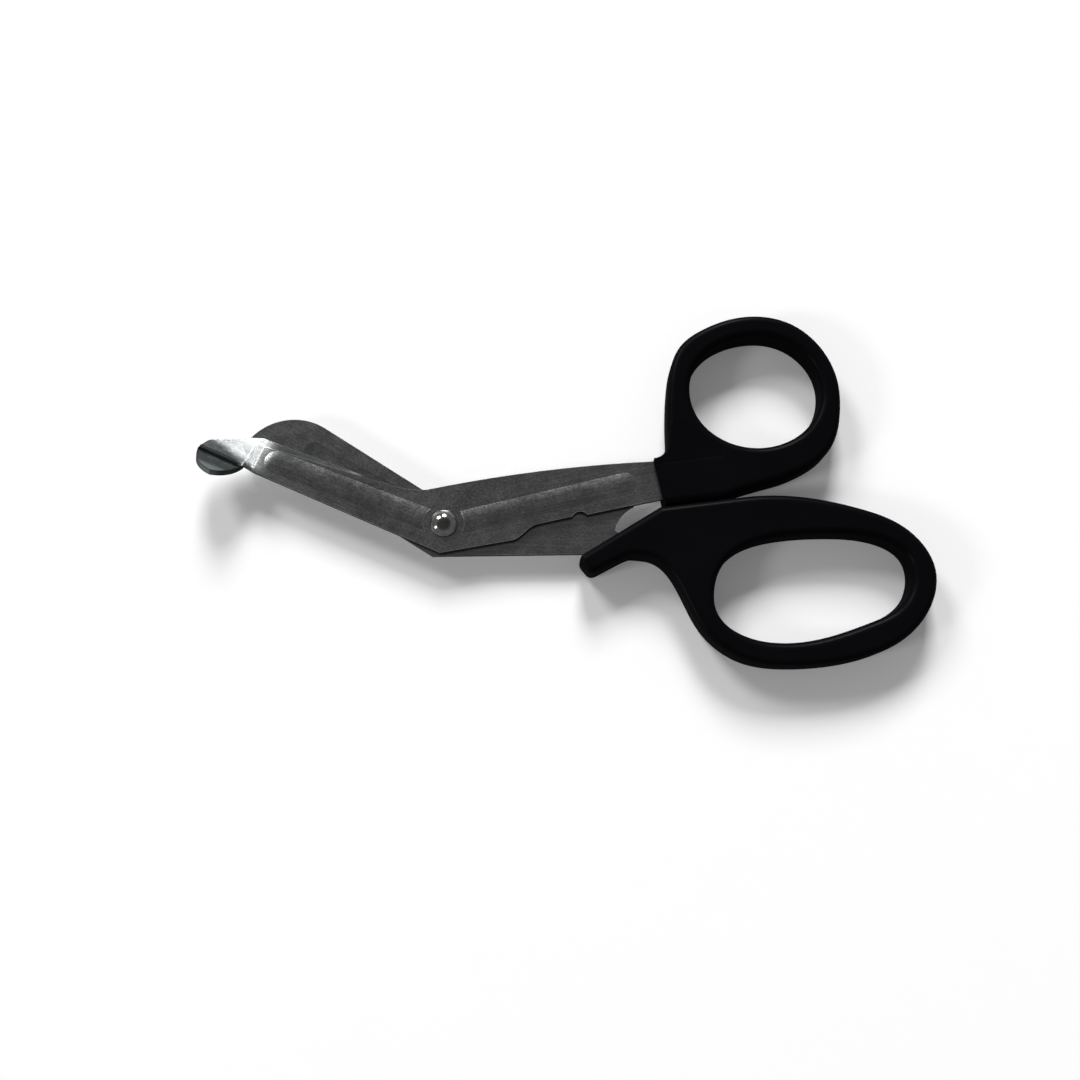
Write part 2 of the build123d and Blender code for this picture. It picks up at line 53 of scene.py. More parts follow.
Colour = tuple[float, float, float]
Point = tuple[float, float, float]
Band = tuple[float, float]


class Slot(Enum):
    """Material slots of the record, one for each finish."""

    BLADE = "blade_steel"
    RIVET = "rivet_steel"
    HANDLE = "handle_plastic"


class Face(Enum):
    """Which way a pressed blade lies in the pair."""

    FRONT = "front"
    REAR = "rear"


def pivot_place() -> Vector:
    """Returns the middle of the rivet, where the blades turn."""
    return Vector(frame["joints"][0]["pos_m"])


@dataclass(frozen=True)
class Pattern:
    """Cloudy noise in a surface.

    The scale says how many features there are to the metre, after the coordinates are
    multiplied by the stretch. The detail counts octaves, and the finer ones weigh as much as
    the roughness says.
    """

    scale: float
    detail: float
    rough: float
    stretch: Point | None = None


class Signal:
    """Output of a node that can be used in Python expressions on values."""

    def __init__(self, graph: "NodeGraph", socket: bpy.types.NodeSocket | None) -> None:
        """Wraps one socket of a graph.

        Args:
            graph: The graph that the socket belongs to.
            socket: The output socket, or none for a node that ends the graph.
        """
        self.graph = graph
        self.socket = socket

    def _join(self, operation: str, first: Any, second: Any) -> "Signal":
        """Adds a Math node.

        Args:
            operation: The name of the node's operation.
            first: A number or a signal.
            second: A number or a signal.

        Returns:
            The node's result.
        """
        return self.graph.node("ShaderNodeMath", {"operation": operation}, {0: first, 1: second})

    def __add__(self, other: Any) -> "Signal":
        """Returns the sum."""
        return self._join("ADD", self, other)

    def __radd__(self, other: Any) -> "Signal":
        """Returns the sum, with the number first."""
        return self._join("ADD", other, self)

    def __sub__(self, other: Any) -> "Signal":
        """Returns the difference."""
        return self._join("SUBTRACT", self, other)

    def __rsub__(self, other: Any) -> "Signal":
        """Returns the difference, with the number first."""
        return self._join("SUBTRACT", other, self)

    def __mul__(self, other: Any) -> "Signal":
        """Returns the product."""
        return self._join("MULTIPLY", self, other)

    def __rmul__(self, other: Any) -> "Signal":
        """Returns the product, with the number first."""
        return self._join("MULTIPLY", other, self)

    def highest(self, other: Any) -> "Signal":
        """Returns the larger of two values."""
        return self._join("MAXIMUM", self, other)

    def size(self) -> "Signal":
        """Returns the value without its sign."""
        return self._join("ABSOLUTE", self, 0.0)

    def wave(self) -> "Signal":
        """Returns the sine of the value."""
        return self._join("SINE", self, 0.0)

    def ramp(self, low: float, high: float) -> "Signal":
        """Rises softly from 0 to 1 between two values, or falls where low is the larger.

        Args:
            low: The value that gives 0.
            high: The value that gives 1.

        Returns:
            The softened step.
        """
        start, end = min(low, high), max(low, high)
        step = self.graph.node(
            "ShaderNodeMapRange",
            {"interpolation_type": "SMOOTHSTEP"},
            {"Value": self, "From Min": start, "From Max": end},
        )
        return step if low < high else 1.0 - step


class NodeGraph:
    """A shader node tree that is filled from Python expressions.

    The Mix node has a pair of inputs and an output for each kind of value. Their places are
    named here, with the settings of the node that rounds edges.
    """

    MIX_DIRECTIONS = (4, 5)
    MIX_DIRECTION_OUT = 1
    MIX_COLOURS = (6, 7)
    MIX_COLOUR_OUT = 2
    EDGE_SAMPLES = 6
    EDGE_BAND: Band = (0.0008, 0.008)

    def __init__(self, tree: bpy.types.NodeTree) -> None:
        """Empties a node tree.

        Args:
            tree: The tree of a material or a world.
        """
        self.tree = tree
        tree.nodes.clear()

    def node(
        self,
        kind: str,
        settings: dict[str, Any] | None = None,
        sockets: dict[Any, Any] | None = None,
        output: Any = 0,
    ) -> Signal:
        """Adds a node.

        Args:
            kind: The node's type.
            settings: The node's own settings.
            sockets: Numbers, colours or signals by socket name or place.
            output: The name or place of the output that is wanted.

        Returns:
            That output.
        """
        made = self.tree.nodes.new(kind)
        for name, value in (settings or {}).items():
            setattr(made, name, value)
        for name, value in (sockets or {}).items():
            if isinstance(value, Signal):
                self.tree.links.new(value.socket, made.inputs[name])
            else:
                made.inputs[name].default_value = value
        return Signal(self, made.outputs[output] if len(made.outputs) else None)

    def noise(self, place: Signal, pattern: Pattern) -> Signal:
        """Adds cloudy noise of about 0 to 1.

        Args:
            place: The coordinates.
            pattern: How fine the noise is.

        Returns:
            The noise's value.
        """
        sockets = {
            "Vector": self.stretched(place, pattern.stretch) if pattern.stretch else place,
            "Scale": pattern.scale,
            "Detail": pattern.detail,
            "Roughness": pattern.rough,
        }
        return self.node("ShaderNodeTexNoise", {"noise_dimensions": "3D"}, sockets, "Fac")

    def turned(self, angle: float, origin: Vector | None = None) -> Signal:
        """Object coordinates in a frame that is turned about the upright axis.

        Args:
            angle: The turn in degrees.
            origin: Where the turned frame starts.

        Returns:
            The coordinates.
        """
        place = self.node("ShaderNodeTexCoord", output="Object")
        sockets = {
            "Vector": place,
            "Location": tuple(origin or (0.0, 0.0, 0.0)),
            "Rotation": (0.0, 0.0, math.radians(angle)),
        }
        return self.node("ShaderNodeMapping", {"vector_type": "TEXTURE"}, sockets)

    def stretched(self, place: Signal, scale: Point) -> Signal:
        """Scales coordinates by a different number along each axis.

        Args:
            place: The coordinates.
            scale: The three numbers.

        Returns:
            The scaled coordinates.
        """
        return self.node("ShaderNodeVectorMath", {"operation": "MULTIPLY"}, {0: place, 1: scale})

    def axis(self, place: Signal, name: str) -> Signal:
        """Returns one coordinate, by the name of its axis."""
        return self.node("ShaderNodeSeparateXYZ", sockets={"Vector": place}, output=name)

    def blend(self, share: Any, first: Any, second: Any) -> Signal:
        """Mixes two colours.

        Args:
            share: How much of the second colour shows.
            first: A colour or a signal.
            second: A colour or a signal.

        Returns:
            The mixed colour.
        """
        sockets = {0: share}
        for place, colour in zip(self.MIX_COLOURS, (first, second)):
            sockets[place] = colour if isinstance(colour, Signal) else (*colour, 1.0)
        settings = {"data_type": "RGBA", "clamp_factor": True}
        return self.node("ShaderNodeMix", settings, sockets, self.MIX_COLOUR_OUT)

    def between(self, share: Any, first: Any, second: Any) -> Signal:
        """Mixes two directions.

        Args:
            share: How much of the second direction counts.
            first: The first direction, as numbers or a signal.
            second: The second direction, as numbers or a signal.

        Returns:
            The mixed direction.
        """
        sockets = {0: share, **dict(zip(self.MIX_DIRECTIONS, (first, second)))}
        return self.node("ShaderNodeMix", {"data_type": "VECTOR"}, sockets, self.MIX_DIRECTION_OUT)

    def facing(self) -> Signal:
        """Returns the direction that the solid faces, in its own frame."""
        return self.node("ShaderNodeTexCoord", output="Normal")

    def lean(self) -> Signal:
        """Returns how far a face looks up or down: 1 where it lies flat and 0 on a wall."""
        return self.axis(self.facing(), "Z").size()

    def world(self, direction: Signal) -> Signal:
        """Turns a direction from the solid's own frame into the world.

        Args:
            direction: The direction in the solid's frame.

        Returns:
            The same direction in the world.
        """
        settings = {"vector_type": "VECTOR", "convert_from": "OBJECT", "convert_to": "WORLD"}
        return self.node("ShaderNodeVectorTransform", settings, {"Vector": direction})

    def soft_edge(self, radius: float) -> tuple[Signal, Signal]:
        """Rounds the edges of a solid in its shading.

        Args:
            radius: The radius of the rounding.

        Returns:
            The rounded normal, and how strongly it leaves the flat one.
        """
        settings = {"samples": self.EDGE_SAMPLES}
        rounded = self.node("ShaderNodeBevel", settings, {"Radius": radius})
        flat = self.node("ShaderNodeNewGeometry", output="Normal")
        sockets = {0: rounded, 1: flat}
        match = self.node("ShaderNodeVectorMath", {"operation": "DOT_PRODUCT"}, sockets, "Value")
        return rounded, (1.0 - match).ramp(*self.EDGE_BAND)

    def bumped(self, strength: float, depth: float, height: Signal, facing: Signal) -> Signal:
        """Bends the direction that a surface faces by a fine relief.

        Args:
            strength: How much the relief counts.
            depth: How deep the relief is.
            height: The relief.
            facing: The direction without the relief.

        Returns:
            The bent direction.
        """
        sockets = {"Strength": strength, "Distance": depth, "Height": height, "Normal": facing}
        return self.node("ShaderNodeBump", sockets=sockets)

    def surface(self, shader: Signal) -> None:
        """Joins a shader to the material's output."""
        self.node("ShaderNodeOutputMaterial", sockets={"Surface": shader})


def new_material(name: str) -> tuple[bpy.types.Material, NodeGraph]:
    """Makes an empty material.

    Args:
        name: The material's name.

    Returns:
        The material and its graph.
    """
    material = bpy.data.materials.new(name)
    material.use_nodes = True
    return material, NodeGraph(material.node_tree)


@dataclass(frozen=True)
class FootPolish:
    """Where a blade's foot is worked brighter than the blade.

    Lengths run from the pivot, along the blade. The buffing fades in along it. The mirror
    polish fades in across it, past a bend line that climbs slowly towards the tip. The neck
    twists out of the blade, and the steel starts to lean a little before the twist. The last
    three bands are slopes: of the upper side, and of the facets where the bevel runs out.
    """

    buff: Band = (44.5 * MM, 55.0 * MM)
    mottle: Pattern = Pattern(900.0, 4.0, 0.6)
    mottle_reach: float = 5.0 * MM
    bend: Band = (16.3 * MM, 18.4 * MM)
    bend_slope: float = 0.21
    bend_mottle: float = 0.3
    neck: Band = (51.2 * MM, 51.6 * MM)
    neck_facing: Point = (0.098, 0.221, 0.970)
    lead_start: float = 46.5 * MM
    lead_share: float = 0.8
    twist_start: float = 50.4 * MM
    twist_end: float = 53.4 * MM
    twist_blur: float = 0.6 * MM
    upper_band: Band = (0.15, 0.35)
    run_out_band: Band = (0.955, 0.940)
    run_out_steep: Band = (0.80, 0.86)


@dataclass(frozen=True)
class FootZones:
    """How far each working of the foot covers a place on the blade, from 0 to 1."""

    buff: Any = 0.0
    mirror: Any = 0.0
    neck: Any = 0.0
    strip: Any = 0.0
    lead: Any = 0.0


@dataclass(frozen=True)
class SlopeZones:
    """How far each kind of sloped face covers a place on the blade, from 0 to 1; wall, bend and
    ground carry painted shade.
    """

    wall: Signal
    bend: Signal
    dull: Signal
    bevel: Signal
    ground: Signal


@dataclass(frozen=True)
class SteelMarks:
    """Fine marks in a blade, each of about 0 to 1, with the creases and folds that take painted
    highlight and shade, and the direction of its rounded folds.
    """

    cloud: Signal
    grain: Signal
    streak: Signal
    scratch: Signal
    edge: Signal
    fold: Signal
    rounded: Signal


@dataclass(frozen=True)
class SatinSteel:
    """Tumbled stainless sheet with fine streaks, and a polished end where one is asked for, with a
    painted highlight on creases and painted shade on sloped faces.
    """

    name: str
    grain_angle: float
    shank_angle: float
    foot: FootPolish | None = None

    # Tints of the flats, of each working and of the painted shade
    tint: Colour = (0.50, 0.51, 0.505)
    dull_tint: Colour = (0.30, 0.305, 0.30)
    # Bright tint: the buffed finish and lighter scratches, and a painted highlight along creases
    bright_tint: Colour = (0.70, 0.72, 0.73)
    # Mirror tint: the mirror polish, held darker than the flats as painted shade on the foot's tab
    mirror_shaded_tint: Colour = (0.36, 0.40, 0.405)
    # Fold tint: painted shade on the rounded folds of the mirror polish
    fold_shade_tint: Colour = (0.10, 0.11, 0.115)
    # Bend tint: painted shade, near black, along the bend before the mirror
    bend_shade_tint: Colour = (0.010, 0.011, 0.011)
    # Ground tint: painted shade that darkens the ground bevel
    ground_shade_tint: Colour = (0.36, 0.37, 0.37)
    # Wall tint: painted shade, near black, on the cut walls
    wall_shade_tint: Colour = (0.020, 0.020, 0.020)

    # Roughness of the flats and of each working
    satin_rough: float = 0.215
    buffed_rough: float = 0.235
    mirror_rough: float = 0.13
    ground_rough: float = 0.24
    wall_rough: float = 0.62

    # Fine marks
    cloud: Pattern = Pattern(240.0, 4.0, 0.6)
    grain: Pattern = Pattern(1900.0, 5.0, 0.7)
    streak: Pattern = Pattern(1.0, 3.0, 0.6, stretch=(70.0, 2300.0, 2300.0))
    streak_turn_reach: float = 3.0 * MM
    scratch: Pattern = Pattern(1.0, 2.0, 0.4, stretch=(110.0, 3100.0, 400.0))
    scratch_turns: tuple[float, float] = (11.0, -28.0)
    scratch_band: Band = (0.70, 0.76)
    crease_radius: float = 0.20 * MM
    fold_radius: float = 0.5 * MM

    # What the marks do to the tint, the roughness and the relief, with a painted highlight along
    # creases
    cloud_shade: float = 0.20
    grain_shade: float = 0.50
    streak_shade: float = 0.30
    shade_band: Band = (0.38, 0.62)
    # Painted highlight: how much the creases lighten the tint
    crease_highlight: float = 0.45
    scratch_shine: float = 0.22
    buff_shine: float = 0.9
    cloud_rough: float = 0.12
    grain_rough: float = 0.16
    edge_rough: float = 0.10
    grain_height: float = 0.7
    streak_height: float = 0.3
    scratch_depth: float = 0.2
    buff_relief_gain: float = 0.6
    mirror_relief_loss: float = 0.8
    relief_strength: float = 0.24
    relief_depth: float = 0.05 * MM

    # Slopes of the cut walls, of the bend before the mirror and of the ground bevel, which pick
    # where shade is painted
    wall_band: Band = (0.72, 0.45)
    bend_band: Band = (0.969, 0.960)
    bend_steep: Band = (0.79, 0.83)
    bend_least: float = 0.60
    dull_band: Band = (0.955, 0.940)
    dull_steep: Band = (0.84, 0.87)
    bevel_band: Band = (0.984, 0.960)
    bevel_flattening: Point = (0.08, 0.08, 1.0)

    def make(self) -> bpy.types.Material:
        """Builds the steel.

        Returns:
            The material.
        """
        material, graph = new_material(self.name)
        place = graph.turned(self.grain_angle, pivot_place())
        marks = self.marks(graph, place)
        zones = self.foot_zones(graph, place)
        slopes = self.slope_zones(graph, zones)
        facing = self.shading_direction(graph, marks, zones, slopes)
        height = self.relief(marks, zones)
        sockets = {
            "Base Color": self.colour(graph, marks, zones, slopes),
            "Metallic": 1.0,
            "Roughness": self.roughness(marks, zones, slopes),
            "Normal": graph.bumped(self.relief_strength, self.relief_depth, height, facing),
        }
        graph.surface(graph.node("ShaderNodeBsdfPrincipled", sockets=sockets))
        return material

    def marks(self, graph: NodeGraph, place: Signal) -> SteelMarks:
        """Adds the marks of tumbling, rolling, pressing and handling, and finds the creases and
        folds that take painted highlight and shade.

        Args:
            graph: The graph to add to.
            place: Coordinates from the pivot, along and across the blade.

        Returns:
            The marks.
        """
        _, edge = graph.soft_edge(self.crease_radius)
        rounded, fold = graph.soft_edge(self.fold_radius)
        return SteelMarks(
            cloud=graph.noise(place, self.cloud),
            grain=graph.noise(place, self.grain),
            streak=self.streaks(graph, place),
            scratch=self.scratches(graph),
            edge=edge,
            fold=fold,
            rounded=rounded,
        )

    def streaks(self, graph: NodeGraph, blade: Signal) -> Signal:
        """Fine lines that follow the blade, and the shank behind the pivot.

        Args:
            graph: The graph to add to.
            blade: Coordinates from the pivot, along and across the blade.

        Returns:
            Noise of about 0 to 1.
        """
        shank = graph.turned(self.shank_angle, pivot_place())
        behind = graph.axis(shank, "X").ramp(-self.streak_turn_reach, self.streak_turn_reach)
        front = graph.noise(blade, self.streak)
        back = graph.noise(shank, self.streak)
        return front * (1.0 - behind) + back * behind

    def scratches(self, graph: NodeGraph) -> Signal:
        """Fine handling scratches in two directions.

        Args:
            graph: The graph to add to.

        Returns:
            1 in a scratch and 0 beside it.
        """
        first, second = (
            graph.noise(graph.turned(self.grain_angle + turn), self.scratch).ramp(*self.scratch_band)
            for turn in self.scratch_turns
        )
        return first.highest(second)

    def foot_zones(self, graph: NodeGraph, place: Signal) -> FootZones:
        """Finds where the foot is buffed, mirror polished, bent and twisted.

        Args:
            graph: The graph to add to.
            place: Coordinates from the pivot, along and across the blade.

        Returns:
            The shares, all 0 where the blade has no foot.
        """
        if self.foot is None:
            return FootZones()
        foot = self.foot
        along = graph.axis(place, "X")
        mottle = (graph.noise(place, foot.mottle) - NOISE_MIDDLE) * foot.mottle_reach
        buff = (along + mottle).ramp(*foot.buff)
        line = graph.axis(place, "Y") + along * foot.bend_slope + mottle * foot.bend_mottle
        mirror = buff * line.ramp(*foot.bend)
        upper = graph.axis(graph.facing(), "Z").ramp(*foot.upper_band)
        inside = along.ramp(foot.twist_start, foot.twist_start + foot.twist_blur)
        before = along.ramp(foot.twist_end, foot.twist_end - foot.twist_blur) * upper
        slope = graph.lean()
        run_out = slope.ramp(*foot.run_out_band) * slope.ramp(*foot.run_out_steep) * (1.0 - mirror)
        return FootZones(
            buff=buff,
            mirror=mirror,
            neck=along.ramp(*foot.neck),
            strip=inside * before.highest(run_out * upper),
            lead=along.ramp(foot.lead_start, foot.twist_start) * before,
        )

    def slope_zones(self, graph: NodeGraph, zones: FootZones) -> SlopeZones:
        """Finds the cut walls, the bend before the mirror and the ground bevel by their slope; the
        walls, bend and bevel take painted shade.

        Args:
            graph: The graph to add to.
            zones: Where the foot is worked.

        Returns:
            The shares.
        """
        slope = graph.lean()
        bend = zones.mirror * slope.ramp(*self.bend_band)
        bevel = slope.ramp(*self.bevel_band) * (1.0 - zones.neck)
        return SlopeZones(
            wall=slope.ramp(*self.wall_band) * (1.0 - zones.strip),
            bend=bend * slope.ramp(*self.bend_steep).highest(self.bend_least),
            dull=zones.mirror * slope.ramp(*self.dull_band) * slope.ramp(*self.dull_steep),
            bevel=bevel,
            ground=bevel * (1.0 - zones.strip),
        )

    def shading_direction(
        self, graph: NodeGraph, marks: SteelMarks, zones: FootZones, slopes: SlopeZones
    ) -> Signal:
        """Rounds the buffed folds and lays the ground bevel flatter in the shading.

        Args:
            graph: The graph to add to.
            marks: The fine marks.
            zones: Where the foot is worked.
            slopes: The sloped faces.

        Returns:
            The direction to shade with.
        """
        shallow = graph.world(graph.stretched(graph.facing(), self.bevel_flattening))
        plain = graph.node("ShaderNodeNewGeometry", output="Normal")
        rounded = graph.between(zones.buff * (1.0 - zones.mirror), plain, marks.rounded)
        return self.smooth_twist(graph, zones, graph.between(slopes.bevel, rounded, shallow))

    def smooth_twist(self, graph: NodeGraph, zones: FootZones, facing: Signal) -> Signal:
        """Lets the shading turn gently where the neck twists out of the blade.

        Args:
            graph: The graph to add to.
            zones: Where the foot is worked.
            facing: The direction that the steel faces.

        Returns:
            The direction to shade with.
        """
        if self.foot is None:
            return facing
        right, back, up = self.foot.neck_facing
        side = (right * self.foot.lead_share, back * self.foot.lead_share, 0.0)
        turn = graph.world(graph.between(zones.lead, (0.0, 0.0, 0.0), side))
        leaning = graph.node("ShaderNodeVectorMath", {"operation": "ADD"}, {0: facing, 1: turn})
        neck = graph.node("ShaderNodeCombineXYZ", sockets={"X": right, "Y": back, "Z": up})
        return graph.between(zones.strip, leaning, graph.world(neck))

    def relief(self, marks: SteelMarks, zones: FootZones) -> Signal:
        """Works out the height of the fine marks.

        Args:
            marks: The fine marks.
            zones: Where the foot is worked.

        Returns:
            The height, stronger where it is buffed and weaker in the mirror.
        """
        height = marks.grain * self.grain_height + marks.streak * self.streak_height
        height = height - marks.scratch * self.scratch_depth
        height = height * (1.0 + zones.buff * self.buff_relief_gain)
        return height * (1.0 - zones.mirror * self.mirror_relief_loss)

    def colour(
        self, graph: NodeGraph, marks: SteelMarks, zones: FootZones, slopes: SlopeZones
    ) -> Signal:
        """Lays the tints over each other, from the flats to the cut walls, with a painted highlight
        on creases and painted shade on the tab, its folds, the bend, the ground bevel and the cut
        walls.

        Args:
            graph: The graph to add to.
            marks: The fine marks.
            zones: Where the foot is worked.
            slopes: The sloped faces.

        Returns:
            The colour.
        """
        shade = marks.cloud * self.cloud_shade + marks.grain * self.grain_shade
        shade = (shade + marks.streak * self.streak_shade).ramp(*self.shade_band)
        # Painted highlight along creases, with scratches that are lighter wear
        shine = marks.edge * self.crease_highlight + marks.scratch * self.scratch_shine
        colour = graph.blend(shade, self.dull_tint, self.tint)
        # Over the flats: the buffed tint with the painted crease highlight, then painted shade in
        # the darker mirror tint, its folds, the bend, the ground bevel and the cut walls
        layers = (
            (shine.highest(zones.buff * self.buff_shine), self.bright_tint),
            (zones.mirror, self.mirror_shaded_tint),
            (marks.fold * zones.mirror, self.fold_shade_tint),
            (slopes.bend, self.bend_shade_tint),
            (slopes.ground, self.ground_shade_tint),
            (slopes.wall, self.wall_shade_tint),
        )
        for share, tint in layers:
            colour = graph.blend(share, colour, tint)
        return colour

    def roughness(self, marks: SteelMarks, zones: FootZones, slopes: SlopeZones) -> Signal:
        """Works out how rough the steel is.

        Args:
            marks: The fine marks.
            zones: Where the foot is worked.
            slopes: The sloped faces.

        Returns:
            The roughness.
        """
        rough = self.satin_rough + (marks.cloud - NOISE_MIDDLE) * self.cloud_rough
        rough = rough + (marks.grain - NOISE_MIDDLE) * self.grain_rough
        rough = rough + marks.edge * self.edge_rough
        rough = rough + zones.buff * (self.buffed_rough - self.satin_rough)
        rough = rough + zones.mirror * (self.mirror_rough - self.buffed_rough)
        rough = rough + slopes.ground * (self.ground_rough - self.satin_rough)
        return rough + slopes.wall.highest(slopes.dull) * (self.wall_rough - self.satin_rough)


@dataclass(frozen=True)
class PolishedRivet:
    """Bright headed steel with faint turning rings and wiped scratches, and painted shade on its
    steep rim.
    """

    name: str = "polished_rivet_steel"
    tint: Colour = (0.30, 0.30, 0.29)
    worn_tint: Colour = (0.19, 0.19, 0.185)
    # Rim tint: painted shade, near black, on the rim's steep walls
    rim_shade_tint: Colour = (0.06, 0.06, 0.06)
    gloss: float = 0.13
    cloud: Pattern = Pattern(700.0, 4.0, 0.6)
    wear_band: Band = (0.35, 0.75)
    wipe: Pattern = Pattern(1.0, 2.0, 0.5, stretch=(300.0, 5200.0, 900.0))
    wipe_band: Band = (0.62, 0.74)
    rim_band: Band = (0.74, 0.55)
    edge_radius: float = 0.12 * MM
    cloud_rough: float = 0.10
    wipe_rough: float = 0.08
    edge_rough: float = 0.06
    rim_rough: float = 0.40
    ring_pitch: float = 0.18 * MM
    ring_height: float = 0.25
    relief_strength: float = 0.06
    relief_depth: float = 0.02 * MM

    def make(self) -> bpy.types.Material:
        """Builds the bright steel.

        Returns:
            The material.
        """
        material, graph = new_material(self.name)
        place = graph.turned(0.0, pivot_place())
        cloud = graph.noise(place, self.cloud)
        wipe = graph.noise(place, self.wipe)
        rounded, edge = graph.soft_edge(self.edge_radius)
        # Steep faces at the rim, which take painted shade and more roughness
        rim = graph.lean().ramp(*self.rim_band)
        colour = graph.blend(cloud.ramp(*self.wear_band), self.tint, self.worn_tint)
        rough = self.gloss + (cloud - NOISE_MIDDLE) * self.cloud_rough
        rough = rough + wipe.ramp(*self.wipe_band) * self.wipe_rough
        rough = rough + edge * self.edge_rough + rim * self.rim_rough
        height = self.rings(graph, place) * self.ring_height + wipe
        sockets = {
            "Base Color": graph.blend(rim, colour, self.rim_shade_tint),
            "Metallic": 1.0,
            "Roughness": rough,
            "Normal": graph.bumped(self.relief_strength, self.relief_depth, height, rounded),
        }
        graph.surface(graph.node("ShaderNodeBsdfPrincipled", sockets=sockets))
        return material

    def rings(self, graph: NodeGraph, place: Signal) -> Signal:
        """Turning rings about the rivet's axis.

        Args:
            graph: The graph to add to.
            place: Coordinates from the pivot.

        Returns:
            A wave from -1 to 1 for each ring.
        """
        flat = graph.stretched(place, (1.0, 1.0, 0.0))
        reach = graph.node("ShaderNodeVectorMath", {"operation": "LENGTH"}, {0: flat}, "Value")
        return (reach * (math.tau / self.ring_pitch)).wave()


@dataclass(frozen=True)
class MouldedPlastic:
    """Black moulded plastic with a fine spark-eroded grain and a faint parting line."""

    name: str = "black_handle_plastic"
    tint: Colour = (0.0024, 0.0024, 0.0030)
    rubbed_tint: Colour = (0.0036, 0.0038, 0.0048)
    sheen: float = 0.045
    wall_sheen: float = 0.040
    satin: float = 0.34
    grain: Pattern = Pattern(5200.0, 3.0, 0.6)
    cloud: Pattern = Pattern(160.0, 4.0, 0.55)
    handling: Pattern = Pattern(46.0, 2.0, 0.5)
    handling_band: Band = (0.35, 0.75)
    scuff: Pattern = Pattern(1.0, 2.0, 0.4, stretch=(140.0, 2600.0, 2600.0))
    scuff_band: Band = (0.68, 0.78)
    upper_band: Band = (0.25, 0.70)
    edge_radius: float = 0.5 * MM
    parting_reach: float = 0.14 * MM
    handling_wear: float = 0.4
    edge_wear: float = 0.4
    scuff_wear: float = 0.2
    cloud_rough: float = 0.16
    scuff_rough: float = 0.08
    cloud_sheen: float = 0.015
    edge_sheen: float = 0.02
    parting_height: float = 1.2
    scuff_depth: float = 0.3
    relief_strength: float = 0.14
    relief_depth: float = 0.06 * MM

    def make(self) -> bpy.types.Material:
        """Builds the plastic.

        Returns:
            The material.
        """
        material, graph = new_material(self.name)
        place = graph.turned(0.0, pivot_place())
        cloud = graph.noise(place, self.cloud) - NOISE_MIDDLE
        handled = graph.noise(place, self.handling).ramp(*self.handling_band)
        scuff = graph.noise(place, self.scuff).ramp(*self.scuff_band)
        parting = graph.axis(place, "Z").size().ramp(self.parting_reach, 0.0)
        rounded, edge = graph.soft_edge(self.edge_radius)
        worn = handled * self.handling_wear + edge * self.edge_wear + scuff * self.scuff_wear
        upper = graph.lean().ramp(*self.upper_band)
        sheen = self.wall_sheen + upper * (self.sheen - self.wall_sheen)
        height = graph.noise(place, self.grain) + parting * self.parting_height
        height = height - scuff * self.scuff_depth
        sockets = {
            "Base Color": graph.blend(worn, self.tint, self.rubbed_tint),
            "Roughness": self.satin + cloud * self.cloud_rough + scuff * self.scuff_rough,
            "Specular IOR Level": 0.0,
            "Coat Weight": sheen + cloud * self.cloud_sheen + edge * self.edge_sheen,
            "Coat Roughness": self.satin,
            "Normal": graph.bumped(self.relief_strength, self.relief_depth, height, rounded),
        }
        graph.surface(graph.node("ShaderNodeBsdfPrincipled", sockets=sockets))
        return material


@dataclass(frozen=True)
class PalePaper:
    """Seamless paper for the floor, with its background lifted towards white."""

    name: str = "pale_floor_paper"
    tint: Colour = (0.98, 0.98, 0.98)
    fibre_tint: Colour = (0.97, 0.97, 0.97)
    fibre: Pattern = Pattern(90.0, 5.0, 0.6)
    rough: float = 0.9
    lift: float = 0.10

    def make(self) -> bpy.types.Material:
        """Builds the paper.

        Returns:
            The material.
        """
        material, graph = new_material(self.name)
        fibre = graph.noise(graph.turned(0.0), self.fibre)
        sockets = {
            "Base Color": graph.blend(fibre, self.tint, self.fibre_tint),
            "Roughness": self.rough,
            "Specular IOR Level": 0.0,
        }
        paper = graph.node("ShaderNodeBsdfPrincipled", sockets=sockets)
        glow = graph.node("ShaderNodeEmission", sockets={"Color": (1.0, 1.0, 1.0, 1.0)})
        seen = graph.node("ShaderNodeLightPath", output="Is Camera Ray")
        mirrored = graph.node("ShaderNodeLightPath", output="Is Glossy Ray")
        through = graph.node("ShaderNodeLightPath", output="Is Transmission Ray")
        share = seen.highest(mirrored).highest(through) * self.lift
        graph.surface(graph.node("ShaderNodeMixShader", sockets={0: share, 1: paper, 2: glow}))
        return material


@dataclass
class DressedPart:
    """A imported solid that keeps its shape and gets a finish."""

    node: str
    slot: Slot

    def dress(self, material: bpy.types.Material) -> None:
        """Puts a finish on the solid.

        Args:
            material: The finish.
        """
        solid = frame["nodes"][self.node]
        solid.data.materials.clear()
        solid.data.materials.append(material)
        LOG.info("%s is finished in %s for slot %s", self.node, material.name, self.slot.value)


@dataclass
class Blade:
    """A pressed blade with its embossed ribs and its shank.

    The rake and the rise are the angles, in degrees, that the blade and its shank make with
    the length of the scissors.
    """

    face: Face
    rake: float
    shank_rise: float
    foot: FootPolish | None = None
    part: DressedPart = field(init=False)

    def __post_init__(self) -> None:
        """Names the blade's solid."""
        self.part = DressedPart(f"{self.face.value}_blade", Slot.BLADE)

    def dress(self) -> None:
        """Gives the blade its satin, along the directions that the blade and shank point."""
        steel = SatinSteel(
            name=f"{self.face.value}_blade_satin_steel",
            grain_angle=180.0 - self.rake,
            shank_angle=self.shank_rise,
            foot=self.foot,
        )
        self.part.dress(steel.make())


@dataclass
class Rivet:
    """The headed rivet that the blades turn on."""

    part: DressedPart = field(default_factory=lambda: DressedPart("pivot_rivet", Slot.RIVET))
    finish: PolishedRivet = PolishedRivet()

    def dress(self) -> None:
        """Gives the rivet its polish."""
        self.part.dress(self.finish.make())


